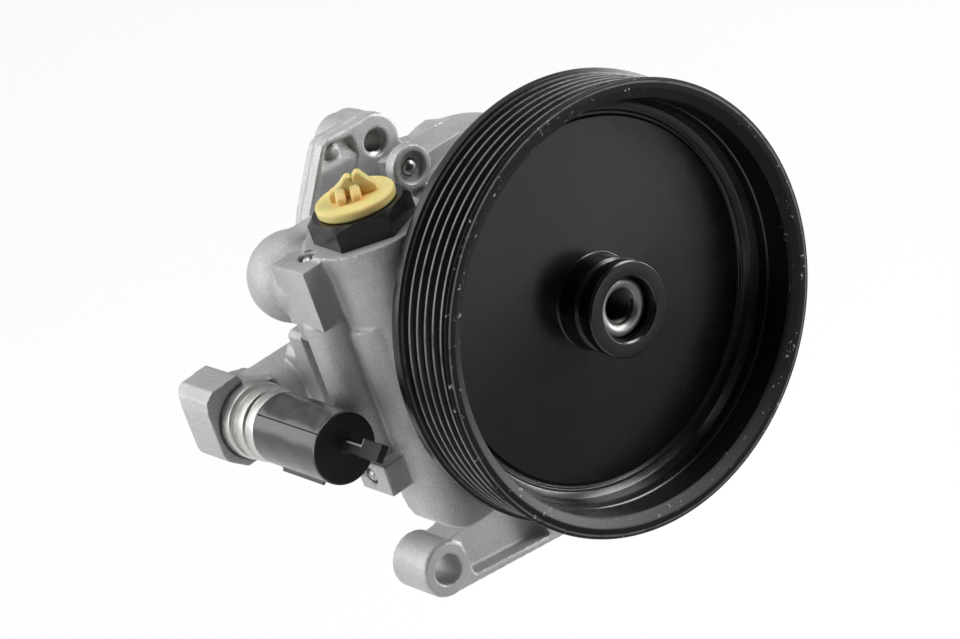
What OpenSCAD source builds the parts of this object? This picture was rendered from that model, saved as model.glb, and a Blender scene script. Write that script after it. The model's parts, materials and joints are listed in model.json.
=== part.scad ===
// Power steering pump, vane type, with a six-groove belt pulley
// Millimetres. The shaft lies along Y and the pulley faces -Y, with the suction port up (+Z).
// The origin is on the shaft axis, in the middle plane of the belt.

/* [Pulley] */
// Outer radius of the pulley's two flanges
pulley_r = 65; // [60:0.5:70]
// Width of the pulley from front rim to rear rim
pulley_w = 25.6; // [24.5:0.1:27]
// Height of the two flanges above the belt ridges
lip_h = 1.2; // [0.8:0.1:2]
// Number of belt grooves
groove_count = 6; // [5:1:6]
// Distance between neighbouring belt grooves
groove_pitch = 3.56; // [3.4:0.01:3.6]
// Thickness of the rim under the belt grooves, at its front edge
rim_wall = 1.9; // [1.7:0.1:2.4]
// Depth of the web behind the front rim
web_depth = 17; // [14:0.5:18]
// Thickness of the web
web_t = 3.6; // [3:0.2:5]
// Outer radius of the hub
hub_r = 14; // [12.5:0.5:16]

/* [Shaft and rotor set] */
// Radius of the drive shaft in the hub and front bush
shaft_r = 9; // [8:0.1:9.4]
// Radius of the rear journal
journal_r = 7.5; // [7:0.1:7.8]
// Radial running clearance of the shaft in its bushes
run_gap = 0.04; // [0.02:0.01:0.08]
// Gap between the rotor and the cam at the two narrow places
rotor_gap = 0.62; // [0.56:0.02:1.2]
// Width of the cam ring
cam_w = 16; // [14:0.5:17]
// Thickness of the cam ring before its lobes are offset
cam_wall = 10; // [9.5:0.1:11]
// Offset of each lobe circle from the shaft axis
cam_offset = 3.2; // [2:0.1:3.4]
// Number of vanes
vane_count = 10; // [10:1:10]
// Thickness of a vane
vane_t = 2; // [1.6:0.1:2.4]
// Radial length of a vane
vane_len = 9.6; // [8:0.2:10]
// Clearance of a vane on each side of its slot
vane_gap = 0.03; // [0.02:0.01:0.08]

/* [Housing] */
// Outer radius of the pump barrel
barrel_r = 47; // [45.5:0.5:49]
// Thickness of the barrel around the rotor set
barrel_wall = 8; // [7.6:0.1:9]
// Left wall of the housing, measured from the shaft axis
wall_x = 63.5; // [62.5:0.25:64]
// Underside of the housing below the shaft axis
floor_z = 47; // [46:0.5:49]
// Top of the lower housing block
ledge_z = 21; // [19:0.5:24]
// Joint face between housing and rear cover
joint_y = 58.6; // [58:0.1:60]
// Radius of the dome on the left side
dome_r = 13.3; // [12.5:0.1:13.5]
// Radius of the upright gallery column
column_r = 8; // [7:0.25:8.25]

/* [Suction port] */
// Distance of the port axis to the left of the shaft
port_x = 46.3; // [45:0.1:47]
// Distance of the port axis behind the belt plane
port_y = 33.1; // [32.8:0.1:34]
// Machined top of the port boss
port_top = 44.5; // [43.5:0.1:46]
// Outer radius of the port boss
port_r = 16.6; // [16:0.1:16.8]
// Width across the flats of the hex fitting
hex_af = 26; // [25.5:0.25:27]
// Height of the hex
hex_h = 7.2; // [6:0.1:8]
// Bore radius of the fitting
fitting_bore_r = 7.6; // [7:0.1:8]
// Radius of the yellow plug's disc
plug_r = 11.5; // [10.5:0.25:12]

/* [Outlet] */
// Distance of the outlet axis to the left of the shaft
out_x = 82.8; // [82.5:0.1:84]
// Distance of the outlet axis below the shaft
out_z = 3.6; // [3:0.2:5]
// Front face of the outlet block behind the belt plane
block_y = 66.4; // [65.6:0.1:67]
// Radius of the union's largest collar
union_r = 11.3; // [10.8:0.1:11.8]
// Radius of the union's nose under the cap
nose_r = 8.5; // [8:0.1:8.9]
// Outer radius of the protective cap
cap_r = 10.4; // [10:0.1:10.6]
// Length of the protective cap
cap_len = 30.4; // [27:0.4:31]

/* [Mounting] */
// Bolt bore radius of the lower ear
ear_bore_r = 4.6; // [4.2:0.1:5]
// Outer radius of the lower ear
ear_r = 8.7; // [8:0.1:9.2]
// Length of the upper threaded boss along the shaft
boss_len = 14.6; // [13:0.2:16]
// Length of the lower ear along the shaft
ear_len = 16; // [14:0.5:17]
// Tapping radius of the upper mounting hole
mount_tap_r = 3.4; // [3.3:0.05:3.6]
// Thickness of the cover flange
flange_t = 9; // [8.6:0.1:10]
// Distance of the cover bolts outside the barrel
bolt_out = 5; // [4.6:0.1:6]

/* [Hidden] */
$fn = 64;
cavity_r = barrel_r - barrel_wall;
bolt_circle_r = barrel_r + bolt_out;
cam_lobe_r = cavity_r - cam_wall;
rotor_r = sqrt(cam_lobe_r * cam_lobe_r - cam_offset * cam_offset) - rotor_gap;
front_y = -groove_count * groove_pitch / 2 - 0.72;
rear_y = front_y + pulley_w;
groove_top = 2.86;
groove_root = 0.78;
groove_depth = 2.9;
ridge_r = pulley_r - lip_h;
rim_inner_r = ridge_r - groove_depth - rim_wall;
groove_first = front_y + 2.5;
web_y = front_y + web_depth;
hub_front = front_y + 2.1;
hub_rear = rear_y + 1.4;
shaft_front = hub_front + 3.4;
nose_front = rear_y + 3.4;
wall_front = nose_front + 3;
seal_y = nose_front + 0.8;
seal_w = 6;
bush_y = seal_y + seal_w + 0.6;
cavity_y = joint_y - 25.6;
plate_rear_t = 5;
plate_front_t = joint_y - cavity_y - cam_w - plate_rear_t - 0.1;
cam_y = cavity_y + plate_front_t;
plate_rear_y = cam_y + cam_w;
plate_r = cavity_r - 0.1;
rotor_y = cam_y + 0.04;
rotor_w = cam_w - 0.08;
tip_r = rotor_r;
slot_bottom = tip_r - vane_len - 2;
spline_n = 12;
spline_root = 7.6;
spline_tip = 8.6;
pin_r = 2.5;
pin_z = cavity_r - 5;
cover_y = joint_y;
flange_rear = joint_y + flange_t;
bush_rear_y = joint_y + 0.4;
bush_rear_w = flange_t - 2.8;
shaft_end = bush_rear_y + bush_rear_w;
thread_gap = 0.05;
mount_x = -19.2;
mount_z = 53.3;
ear_x = -45.5;
ear_z = -76.6;
valve_y = flange_rear + 9.4;
valve_z = -5;
valve_r = 6.2;
valve_right = 52;
spool_len = 28;
spool_x = -22;
column_x = -wall_x - 0.1;
column_y = port_y + 5.4;
column_top = 26.5;
rib_top = 43.7;
rib_front = column_y - 7.5;
lug_z = -23.2;
lug_y = port_y + 2.5;
low_rear = port_y + 2.5;
dome_x = -wall_x + 2.6;
dome_y = port_y + 21.8;
dome_z = 33.2;
bolt_angles = [30, -40, 152, -130];
bolt_r = 4;
fitting_tail_r = 10;
fitting_tail = 11;
hex_z = port_top + 0.05;
hex_top = hex_z + hex_h;
plug_z = hex_top + 0.1;
cap_y = block_y - 14.7;
cap_front = cap_y - cap_len;
block_deep = 16.4;
gallery_r = 2.3;
ball_r = 2.57;
ball_seat = 3.6;
ball_rise = sqrt(ball_r * ball_r - gallery_r * gallery_r) + 0.01;
lug_face = -wall_x - 7.3;
boss_x = -22.4;
boss_y = 38.6;
boss_z = 49.7;
plug_tail = 9.6;
spring_wire = 0.8;
spring_turns = 8;
spring_first = spool_x + spool_len + spring_wire + 0.05;
spring_last = valve_right - plug_tail - spring_wire - 0.05;

// Turns a shape drawn along +Z so that it runs along +Y
module along_y(y) { translate([0, y, 0]) rotate([-90, 0, 0]) children(); }

// A cylinder along Y starting at the given place
module rod_y(x, y, z, r, h) { translate([x, y, z]) rotate([-90, 0, 0]) cylinder(r = r, h = h); }

// A cylinder along X starting at the given place
module rod_x(x, y, z, r, h) { translate([x, y, z]) rotate([0, 90, 0]) cylinder(r = r, h = h); }

// An upright plate outline drawn in X and Z, thickened along +Y
module slab_y(y, t) { translate([0, y + t, 0]) rotate([90, 0, 0]) linear_extrude(t) children(); }

// A ring with a round section, lying around the Y axis
module ring_y(y, r, s) { along_y(y) rotate_extrude($fn = 72) translate([r, 0]) circle(r = s, $fn = 16); }

// One belt groove in the section of the rim
module groove_section(y) {
  r1 = ridge_r - groove_depth;
  w = groove_top / 2;
  polygon([[r1, y - groove_root / 2], [ridge_r, y - w], [pulley_r + 1, y - w - 0.45],
    [pulley_r + 1, y + w + 0.45], [ridge_r, y + w], [r1, y + groove_root / 2]]);
}

// Section of the rim before the grooves are cut, front edge chamfered inside and out
module rim_section() {
  f = front_y;
  b = rear_y;
  polygon([[rim_inner_r, f + 0.4], [rim_inner_r + 0.4, f], [pulley_r - 0.5, f], [pulley_r, f + 0.5],
    [pulley_r, b - 0.8], [pulley_r - 0.8, b], [rim_inner_r - 3, b], [rim_inner_r - 4, b - 1],
    [rim_inner_r - 4, web_y + web_t], [hub_r - 1, web_y + web_t], [hub_r - 1, web_y],
    [rim_inner_r - 8.2, web_y], [rim_inner_r - 7.6, web_y + 0.8], [rim_inner_r - 6.8, web_y + 0.8],
    [rim_inner_r - 6.2, web_y], [rim_inner_r - 4.4, web_y], [rim_inner_r - 2.6, web_y - 1.2],
    [rim_inner_r - 1.7, web_y - 3.6], [rim_inner_r - 1.5, f + 10.6], [rim_inner_r - 0.6, f + 10],
    [rim_inner_r, f + 3]]);
}

// Section of the hub, with a puller groove behind its front collar
module hub_section() {
  f = hub_front;
  polygon([[shaft_r + 0.2, f + 0.6], [shaft_r + 0.8, f], [hub_r - 0.6, f], [hub_r, f + 0.6], [hub_r, f + 3.6],
    [hub_r - 1.4, f + 4.2], [hub_r - 1.4, f + 7], [hub_r - 0.4, f + 7.6], [hub_r - 0.4, web_y - 1.6],
    [hub_r + 1.2, web_y], [hub_r + 1.2, web_y + web_t], [hub_r - 0.6, hub_rear], [shaft_r, hub_rear],
    [shaft_r, shaft_front], [shaft_r + 0.2, shaft_front]]);
}

module pulley() {
  color([0.07, 0.07, 0.07]) along_y(0) rotate_extrude($fn = 120) {
    difference() {
      rim_section();
      for (i = [0 : groove_count - 1]) groove_section(groove_first + i * groove_pitch);
      translate([ridge_r, groove_first]) square([lip_h + 2, (groove_count - 1) * groove_pitch]);
    }
    hub_section();
  }
}

// Spline outline, grown by the given amount for the rotor's bore
module spline_outline(grow) {
  circle(r = spline_root + grow);
  for (i = [0 : spline_n - 1]) rotate(i * 360 / spline_n) translate([spline_tip / 2, 0])
    square([spline_tip + 2 * grow, 2.2 + 2 * grow], center = true);
}

module drive_shaft() {
  color([0.66, 0.67, 0.68]) difference() {
    union() {
      rod_y(0, shaft_front + 1.2, 0, shaft_r, rotor_y - 1.4 - shaft_front - 1.2);
      along_y(shaft_front) cylinder(r1 = shaft_r - 1.2, r2 = shaft_r, h = 1.2);
      along_y(rotor_y - 2) linear_extrude(rotor_w + 1) spline_outline(0);
      rod_y(0, rotor_y - 2, 0, journal_r, shaft_end - rotor_y + 2);
    }
    rod_y(0, shaft_front - 1, 0, 4.25, 26);
    along_y(shaft_front + 24.9) cylinder(r1 = 4.25, r2 = 0.4, h = 2.6);
    along_y(shaft_front - 0.01) cylinder(r1 = 6.2, r2 = 4.25, h = 2);
    along_y(rotor_y + rotor_w + 0.1) difference() {
      cylinder(r = 12, h = 1.2);
      translate([0, 0, -1]) cylinder(r = 6.8, h = 4);
    }
  }
}

module rotor() {
  color([0.55, 0.56, 0.57]) difference() {
    rod_y(0, rotor_y, 0, rotor_r, rotor_w);
    along_y(rotor_y - 1) linear_extrude(rotor_w + 2) spline_outline(0.05);
    for (i = [0 : vane_count - 1]) rotate([0, i * 360 / vane_count, 0]) vane_slot();
  }
}

// Slot for one vane with a round oil channel at its foot
module vane_slot() {
  w = vane_t + 2 * vane_gap;
  translate([slot_bottom, rotor_y - 1, -w / 2]) cube([rotor_r, rotor_w + 2, w]);
  rod_y(slot_bottom, rotor_y - 1, 0, 1.5, rotor_w + 2);
}

module vane(i) {
  color([0.62, 0.63, 0.64]) rotate([0, i * 360 / vane_count, 0])
    translate([tip_r - vane_len, rotor_y, -vane_t / 2]) cube([vane_len, rotor_w, vane_t]);
}

module rotor_clip() {
  color([0.3, 0.31, 0.33]) along_y(rotor_y + rotor_w + 0.12) difference() {
    cylinder(r = 10.4, h = 1.16);
    translate([0, 0, -1]) cylinder(r = 6.85, h = 4);
    translate([0, -2.2, -1]) cube([14, 4.4, 4]);
  }
}

// Outline of the lower housing block seen from the front, left corner rounded
module body_outline() {
  corner_r = 12;
  difference() {
    translate([-wall_x, -floor_z]) square([wall_x + 12, floor_z + ledge_z]);
    translate([-wall_x - 1, -floor_z - 1]) square([corner_r + 1, corner_r + 1]);
  }
  translate([corner_r - wall_x, corner_r - floor_z]) circle(r = corner_r);
}

// Plan of the lower housing block, front left corner rounded
module body_plan(rear) {
  corner_r = 10;
  difference() {
    translate([-wall_x, wall_front]) square([wall_x + 12, rear - wall_front]);
    translate([-wall_x - 1, wall_front - 1]) square([corner_r + 1, corner_r + 1]);
  }
  translate([corner_r - wall_x, wall_front + corner_r]) circle(r = corner_r);
}

module housing_solid() {
  intersection() {
    slab_y(wall_front, joint_y - wall_front) body_outline();
    union() {
      translate([0, 0, -floor_z]) linear_extrude(floor_z + ledge_z) body_plan(low_rear);
      translate([0, 0, -18]) linear_extrude(18 + ledge_z) body_plan(joint_y);
    }
  }
  rod_y(0, wall_front + 2.5, 0, barrel_r, joint_y - wall_front - 2.5);
  along_y(wall_front) cylinder(r1 = barrel_r - 2.5, r2 = barrel_r, h = 2.5);
  along_y(nose_front) cylinder(r1 = 22, r2 = 24, h = wall_front - nose_front + 0.5);
  for (a = bolt_angles) rod_y(bolt_circle_r * cos(a), joint_y - 20, bolt_circle_r * sin(a), 8, 20);
  translate([-port_x, port_y, 0]) cylinder(r = port_r, h = port_top - 4);
  translate([-port_x, port_y, port_top - 9]) cylinder(r1 = port_r - 0.3, r2 = port_r + 1.3, h = 9);
  difference() {
    dome_and_rib();
    translate([0, 0, rib_top]) linear_extrude(20) flat_outline();
    translate([dome_x + 6.4, joint_y - 0.3, 0]) cube([60, 20, 60]);
    translate([dome_x - 30, dome_y + dome_r - 1.7, 0]) cube([60, 20, 60]);
  }
  translate([column_x, column_y, lug_z]) cylinder(r = column_r, h = column_top - 1.2 - lug_z);
  translate([column_x, column_y, column_top - 1.2]) cylinder(r1 = column_r, r2 = column_r - 1.2, h = 1.2);
  translate([lug_face, lug_y - 8.4, lug_z - 5]) cube([14, 14.7, 9.8]);
  rod_y(boss_x, boss_y, boss_z, 6.6, 4.2);
  translate([-44, port_y + 8, 10]) cube([22, joint_y - port_y - 8, 28]);
  translate([-24, 41, 38]) cube([22, 13, 12.4]);
  translate([-5, 44, 30]) cube([12, joint_y - 44, 17.6]);
}

// Outline of the machined flat on top of the rib
module flat_outline() {
  polygon([[-wall_x - 12, rib_front - 3], [-wall_x - 12, column_y + 7.9], [-wall_x - 1.1, column_y + 9.1],
    [-wall_x + 4.9, column_y + 3.9], [-wall_x + 0.3, column_y - 7.9], [-wall_x + 0.3, rib_front - 3]]);
}

// The closed dome on the left and the rib in front of it
module dome_and_rib() {
  translate([dome_x, dome_y, dome_z]) rotate([90, 0, 0]) sphere(r = dome_r);
  translate([dome_x, dome_y, dome_z]) rotate([90, 0, 0]) cylinder(r1 = dome_r - 0.4, r2 = 8.6, h = 19);
  rod_x(dome_x, dome_y, dome_z, dome_r - 1.2, 22);
  translate([-wall_x - 7.6, rib_front, column_top - 1.5]) cube([14, 16, rib_top - column_top + 1.5]);
}

module pump_housing() {
  color([0.72, 0.73, 0.73]) difference() {
    housing_solid();
    rod_y(0, cavity_y, 0, cavity_r, joint_y - cavity_y + 1);
    rod_y(0, nose_front - 1, 0, 15, seal_y + seal_w - nose_front + 1);
    rod_y(0, nose_front, 0, shaft_r + 2 + thread_gap, cavity_y - nose_front + 1);
    for (z = [pin_z, -pin_z]) rod_y(0, cavity_y - 4.2, z, pin_r + 0.05, 6);
    for (a = bolt_angles)
      rod_y(bolt_circle_r * cos(a), joint_y - 17, bolt_circle_r * sin(a), bolt_r + thread_gap, 24);
    translate([-port_x, port_y, port_top - fitting_tail - 0.6])
      cylinder(r = fitting_tail_r + thread_gap, h = 20);
    translate([-port_x, port_y, port_top - 2.4]) cylinder(r = fitting_tail_r + 2.4, h = 4);
    translate([-port_x, port_y, 6]) cylinder(r = 6, h = 40);
    rod_x(-port_x, port_y, 12, 6, 20);
    translate([column_x, column_y, lug_z - 1]) cylinder(r = gallery_r, h = 80);
    rod_x(lug_face - 1, lug_y, lug_z, gallery_r, 36);
    rod_y(boss_x, boss_y - 1, boss_z, gallery_r, 13);
    translate([column_x, column_y, rib_top - ball_seat]) cylinder(r = ball_r + 0.03, h = 8);
    rod_x(lug_face - 1, lug_y, lug_z, ball_r + 0.03, ball_seat + 1);
    rod_y(boss_x, boss_y - 1, boss_z, ball_r + 0.03, ball_seat + 1);
    translate([-wall_x - 4, column_y + 10, -60]) cube([8.5, 40, 73]);
    along_y(joint_y - 2) difference() {
      cylinder(r = cavity_r + 4.4, h = 3);
      translate([0, 0, -1]) cylinder(r = cavity_r + 2, h = 5);
    }
  }
}

// Outline of the cover flange in X and Z
module cover_outline() {
  circle(r = barrel_r - 1);
  for (a = bolt_angles) rotate(a) translate([bolt_circle_r, 0]) circle(r = 9);
}

// Outline of the upper mounting plate and the left flange, which are thinner
module plate_outline() {
  polygon([[-64.2, 13.4], [-62.6, 14.6], [-56, 15], [-53, 35], [-47, 45.7], [-37.4, 59.2], [-36, 60.8],
    [-33.6, 61.8], [-19, 61.2], [-10.6, 48.6], [-4.7, 47], [-0.4, 48], [2.8, 48.2], [8.1, 45.9], [14, 42],
    [0, 0], [-30, -30], [-58, -30], [-64.2, -24]]);
}

// Outline of the thicker pad on the left flange, behind the column
module flange_pad() {
  polygon([[-64.2, 6], [-62.4, 8.4], [-54, 9], [-50, 2], [-50, -18], [-60, -20], [-64.2, -16]]);
}

// Outline of the mounting plate's shallow pocket
module pocket_outline() {
  polygon([[-51, 29], [-46, 43.6], [-36.4, 57.6], [-34.6, 60.2], [-26.2, 58.8], [-25.8, 53], [-40, 30]]);
}

// Outline of the lower arm, widening away from the ear
module arm_outline() {
  polygon([[ear_x, ear_z + 7.2], [-22, -66.5], [-14, 8 - barrel_r], [8, 8 - barrel_r], [14, -92.4],
    [ear_x - 2, ear_z - ear_r + 0.3]]);
}

// Outline of the weight-saving pocket in the arm
module arm_pocket() { polygon([[-38, -72.4], [-10, -67], [-8, -87.6], [-37, -83.6]]); }

// Outline of the outlet block seen along the outlet axis
module block_outline() {
  x = -out_x;
  z = -out_z;
  polygon([[x - 13.4, z + 8.4], [x - 12.4, z + 12], [x - 9.4, z + 14.2], [x - 0.2, z + 14.6],
    [x + 1.6, z + 10], [x + 11, z + 7.4], [x + 11, z - 7], [x + 2, z - 11.4], [x - 7, z - 12],
    [x - 12.4, z - 7.4], [x - 13.4, z - 5]]);
}

module cover_solid() {
  slab_y(cover_y, flange_t) cover_outline();
  slab_y(cover_y, 6.8) plate_outline();
  slab_y(cover_y, 12.4) flange_pad();
  rod_y(mount_x, cover_y, mount_z, 8.2, boss_len);
  rod_y(mount_x - 3.4, cover_y + 3, mount_z + 0.4, 8.2, boss_len - 3);
  rod_y(ear_x, cover_y, ear_z, ear_r, ear_len);
  slab_y(cover_y, ear_len - 3.4) arm_outline();
  rod_x(-64, valve_y, valve_z, valve_r + 3.3, valve_right + 64);
  translate([-60, flange_rear - 3, valve_z - 9]) cube([valve_right + 60, valve_y - flange_rear + 3, 18]);
  rod_x(-76, valve_y - 1.6, valve_z, valve_r + 4, 20);
  slab_y(block_y, block_deep) block_outline();
}

// Takes off the upright rear edge of the outlet block
module block_edges() {
  translate([-out_x - 13.4, block_y + block_deep, 0]) rotate([0, 0, 45]) cube([3.4, 3.4, 80], center = true);
}

module rear_cover() {
  color([0.74, 0.75, 0.75]) difference() {
    cover_solid();
    block_edges();
    rod_y(0, cover_y - 1, 0, journal_r + 2 + thread_gap, flange_t - 1);
    rod_y(mount_x, cover_y - 1, mount_z, mount_tap_r, boss_len + 2);
    along_y(cover_y - 0.01) translate([mount_x, -mount_z, 0]) cylinder(r1 = 4.2, r2 = mount_tap_r, h = 1);
    rod_y(ear_x, cover_y - 1, ear_z, ear_bore_r, ear_len + 2);
    slab_y(cover_y - 1, 6.4) arm_pocket();
    slab_y(cover_y - 1, 2.6) difference() {
      pocket_outline();
      translate([-32.8, 57.2]) circle(r = 1.7);
    }
    for (a = bolt_angles)
      rod_y(bolt_circle_r * cos(a), cover_y - 1, bolt_circle_r * sin(a), bolt_r + 0.3, flange_t + 2);
    rod_x(spool_x - 0.05, valve_y, valve_z, valve_r, valve_right - spool_x + 9);
    rod_x(valve_right - plug_tail - 0.4, valve_y, valve_z, valve_r + 1, 20);
    rod_x(-out_x, valve_y, valve_z, 3, out_x + spool_x + 1);
    rod_y(-out_x, block_y - 1, -out_z, nose_r - 0.5 + thread_gap, 12);
    rod_y(-out_x, block_y - 1, -out_z, union_r + 0.5, 2);
    rod_y(-26.5, cover_y - 1, valve_z, 2.6, valve_y - cover_y + 1);
  }
}

module cover_bolts() {
  color([0.6, 0.6, 0.58]) for (a = bolt_angles)
  translate([bolt_circle_r * cos(a), 0, bolt_circle_r * sin(a)]) {
    rod_y(0, joint_y - 15, 0, bolt_r, flange_t + 15.5);
    along_y(flange_rear + 0.02) cylinder(r = 8, h = 1.4);
    along_y(flange_rear + 1) cylinder(r = 7.4, h = 6, $fn = 6);
  }
}

module cover_seal() { color([0.05, 0.05, 0.05]) ring_y(joint_y - 1.02, cavity_r + 3.2, 0.96); }

module shaft_seal() {
  color([0.08, 0.08, 0.08]) along_y(seal_y) rotate_extrude($fn = 72)
    polygon([[14.95, 0], [14.95, seal_w - 0.1], [13, seal_w - 0.1], [13, 1.6], [11, 2],
      [10.4, 4.8], [9.4, 4.8], [shaft_r + run_gap, 4], [shaft_r + 0.6, 2.4], [shaft_r + 1, 0]]);
}

module front_bush() {
  color([0.62, 0.5, 0.34]) along_y(bush_y) difference() {
    cylinder(r = shaft_r + 2, h = cavity_y - bush_y);
    translate([0, 0, -1]) cylinder(r = shaft_r + run_gap, h = 30);
  }
}

module rear_bush() {
  color([0.62, 0.5, 0.34]) along_y(bush_rear_y) difference() {
    cylinder(r = journal_r + 2, h = bush_rear_w);
    translate([0, 0, -1]) cylinder(r = journal_r + run_gap, h = 30);
  }
}

// Round plate with a shaft hole, pin holes and four oil ports
module port_plate(y, t, bore) {
  difference() {
    rod_y(0, y, 0, plate_r, t);
    rod_y(0, y - 1, 0, bore, t + 2);
    for (z = [pin_z, -pin_z]) rod_y(0, y - 1, z, pin_r + 0.05, t + 2);
    for (a = [45 : 90 : 315]) rod_y((cavity_r - 9.5) * cos(a), y - 1, (cavity_r - 9.5) * sin(a), 3, t + 2);
  }
}

module front_plate() { color([0.5, 0.5, 0.5]) port_plate(cavity_y, plate_front_t, shaft_r + 0.4); }

module rear_plate() { color([0.5, 0.5, 0.5]) port_plate(plate_rear_y, plate_rear_t, 11.4); }

module cam_ring() {
  color([0.58, 0.58, 0.6]) difference() {
    rod_y(0, cam_y, 0, plate_r, cam_w);
    for (s = [-1, 1]) rod_y(s * cam_offset, cam_y - 1, 0, cam_lobe_r, cam_w + 2);
    for (z = [pin_z, -pin_z]) rod_y(0, cam_y - 1, z, pin_r + 0.05, cam_w + 2);
  }
}

module dowel_pins() {
  color([0.6, 0.61, 0.63]) for (z = [pin_z, -pin_z])
    rod_y(0, cavity_y - 4, z, pin_r, joint_y - cavity_y + 3.8);
}

module flow_spool() {
  color([0.64, 0.65, 0.66]) difference() {
    rod_x(spool_x, valve_y, valve_z, valve_r - 0.03, spool_len);
    for (x = [7, 17]) translate([spool_x + x, valve_y, valve_z]) rotate([0, 90, 0]) difference() {
      cylinder(r = 9, h = 5);
      translate([0, 0, -1]) cylinder(r = 5, h = 7);
    }
    rod_x(spool_x + 12, valve_y, valve_z, 4.2, spool_len);
  }
}

// One turn of the return spring
module spring_turn(x) {
  translate([x, valve_y, valve_z]) rotate([0, 90, 0]) rotate_extrude($fn = 36)
    translate([valve_r - 1, 0]) circle(r = spring_wire, $fn = 16);
}

module spool_spring() {
  color([0.5, 0.5, 0.52]) {
    step = (spring_last - spring_first) / (spring_turns - 1);
    for (i = [0 : spring_turns - 1]) spring_turn(spring_first + i * step);
    for (a = [-1, 1])
      rod_x(spring_first, valve_y + (valve_r - 1) * a, valve_z, 0.5, spring_last - spring_first);
  }
}

module valve_plug() {
  color([0.55, 0.56, 0.55]) difference() {
    union() {
      rod_x(valve_right - plug_tail, valve_y, valve_z, valve_r + 1 - thread_gap, plug_tail + 0.1);
      translate([valve_right + 0.05, valve_y, valve_z]) rotate([0, 90, 0]) cylinder(r = 11, h = 5, $fn = 6);
      translate([valve_right + 0.05, valve_y, valve_z]) rotate([0, 90, 0]) cylinder(r = 10.6, h = 1.2);
    }
    translate([valve_right - 5, valve_y, valve_z]) rotate([0, 90, 0]) difference() {
      cylinder(r = 12, h = 2.2);
      translate([0, 0, -1]) cylinder(r = valve_r - 0.2, h = 5);
    }
  }
}

module plug_seal() {
  color([0.05, 0.05, 0.05]) translate([valve_right - 3.9, valve_y, valve_z]) rotate([0, 90, 0])
    rotate_extrude($fn = 48) translate([valve_r + 0.4, 0]) circle(r = 0.56, $fn = 16);
}

module gallery_balls() {
  color([0.75, 0.76, 0.78]) {
    translate([column_x, column_y, rib_top - ball_seat + ball_rise]) sphere(r = ball_r, $fn = 32);
    translate([lug_face + ball_seat - ball_rise, lug_y, lug_z]) sphere(r = ball_r, $fn = 32);
    translate([boss_x, boss_y + ball_seat - ball_rise, boss_z]) sphere(r = ball_r, $fn = 32);
  }
}

module suction_fitting() {
  color([0.06, 0.06, 0.065]) translate([-port_x, port_y, 0]) difference() {
    union() {
      intersection() {
        translate([0, 0, hex_z]) rotate([0, 0, -33.7]) cylinder(r = hex_af / sqrt(3), h = hex_h, $fn = 6);
        union() {
          translate([0, 0, hex_z]) cylinder(r = hex_af, h = hex_h - 1.5);
          translate([0, 0, hex_top - 1.5]) cylinder(r1 = hex_af / 2 + 1.9, r2 = hex_af / 2 + 0.2, h = 1.5);
        }
      }
      translate([0, 0, port_top - fitting_tail]) cylinder(r = fitting_tail_r, h = fitting_tail + 1);
    }
    cylinder(r = fitting_bore_r, h = 80);
    translate([0, 0, hex_top - 10]) cylinder(r = fitting_bore_r + 0.8, h = 30);
    translate([0, 0, hex_top - 1]) cylinder(r1 = fitting_bore_r + 0.8, r2 = fitting_bore_r + 2, h = 1.2);
  }
}

module fitting_seal() {
  color([0.05, 0.05, 0.05]) translate([-port_x, port_y, port_top - 1.2]) rotate_extrude($fn = 48)
    translate([fitting_tail_r + 1.2, 0]) circle(r = 1.12, $fn = 16);
}

// The tall finger grip on top of the plug, with two peaks
module grip_peaks() {
  rotate([90, 0, 0]) linear_extrude(2.6, center = true)
    polygon([[-6.6, 0], [-6.3, 2.4], [-5.6, 3], [-4.2, 3.5], [-2.2, 4.8],
      [-0.8, 6.1], [0, 6.2], [0.5, 5.8], [1.1, 4.2], [1.7, 6], [2.5, 6.7], [3.3, 6.6], [4.2, 5],
      [5.4, 3.5], [6.4, 2.4], [6.8, 0]]);
}

// A low grip that stands square to it
module grip_low() {
  rotate([90, 0, 90]) linear_extrude(2, center = true)
    polygon([[-5.2, 0], [-4.8, 1.7], [-3.4, 2.6], [-1.2, 3.6], [1.2, 3.6], [3.4, 2.6], [4.8, 1.7], [5.2, 0]]);
}

module suction_plug() {
  color([0.93, 0.82, 0.42]) translate([-port_x, port_y, plug_z]) {
    difference() {
      union() {
        cylinder(r1 = plug_r - 0.2, r2 = plug_r, h = 0.5);
        translate([0, 0, 0.5]) cylinder(r = plug_r, h = 1.8);
        translate([0, 0, 2.3]) cylinder(r1 = plug_r, r2 = plug_r - 0.5, h = 0.5);
        translate([0, 0, -8]) cylinder(r1 = fitting_bore_r, r2 = fitting_bore_r + 0.5, h = 8.2);
      }
      translate([0, 0, -9]) cylinder(r = fitting_bore_r - 1.2, h = 10);
    }
    translate([0, 0, 2.6]) rotate([0, 0, -39]) grip_peaks();
    for (x = [-3.1, 1.2]) translate([0, 0, 2.6]) rotate([0, 0, -39]) translate([x, 0, 0]) grip_low();
  }
}

// Section of the outlet union: threaded tail with a seal groove, ringed collars, nose
module union_section() {
  t = nose_r - 0.5;
  u = union_r;
  b = block_y;
  polygon([[4, b + 9], [t, b + 9], [t, b + 4.4], [t - 1.45, b + 4.4], [t - 1.45, b + 2.6], [t, b + 2.6],
    [t, b + 0.98], [u, b + 0.98], [u, b - 3.6], [u - 0.6, b - 4.2], [u - 1.5, b - 4.4], [u - 1.5, b - 6.4],
    [u - 0.5, b - 6.8], [u - 0.5, b - 10], [u - 1.4, b - 10.4], [u - 1.4, b - 11.4], [u - 1, b - 11.7],
    [u - 1, cap_y + 0.05],
    [nose_r, cap_y + 0.05], [nose_r, cap_front + 7.6], [nose_r - 0.8, cap_front + 6.8],
    [5.4, cap_front + 6.8], [4, cap_front + 9]]);
}

module outlet_union() {
  color([0.78, 0.76, 0.68]) along_y(0) translate([-out_x, out_z, 0]) rotate_extrude($fn = 72) union_section();
}

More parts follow.
